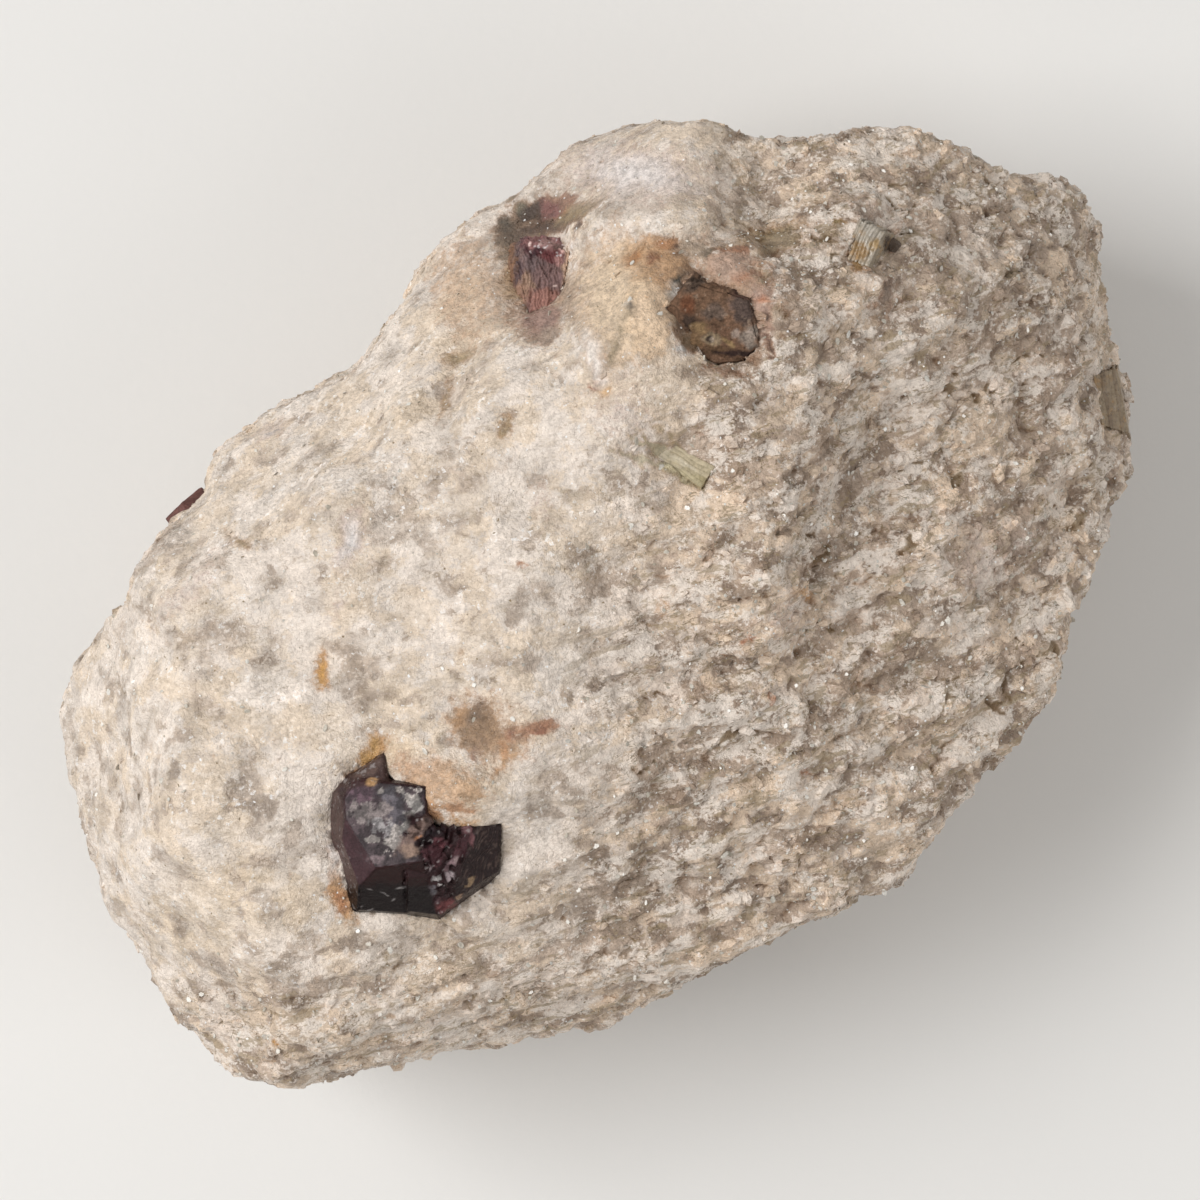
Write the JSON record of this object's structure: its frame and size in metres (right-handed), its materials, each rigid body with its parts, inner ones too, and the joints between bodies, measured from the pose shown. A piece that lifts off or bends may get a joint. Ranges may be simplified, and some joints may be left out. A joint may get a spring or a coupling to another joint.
{
  "type": "garnet in matrix",
  "caption": "Mineral specimen: dark red almandine garnet crystals and mica books set in a pale, coarse, layered feldspar and quartz rock.",
  "frame": {"origin": "middle of the stone's box in X and Y, on the surface that the stone rests on", "axes": "+Z up, through the face that carries the crystals; +X to the right and +Y up in the picture, which looks straight down on it"},
  "size_m": [0.079, 0.0697, 0.0429],
  "materials": {
    "matrix_rock": "rough broken feldspar and quartz",
    "garnet": "glassy crystal faces",
    "weathered_garnet": "dull rust-brown skin",
    "mica": "pearly cleavage sheets"
  },
  "bodies": {
    "root": {"matrix": "matrix_rock", "garnet_large": "garnet", "garnet_upper": "garnet", "garnet_stained": "weathered_garnet", "garnet_side": "garnet", "mica_book_upper": "mica", "mica_fan": "mica", "mica_book_rim": "mica"}
  },
  "joints": []
}
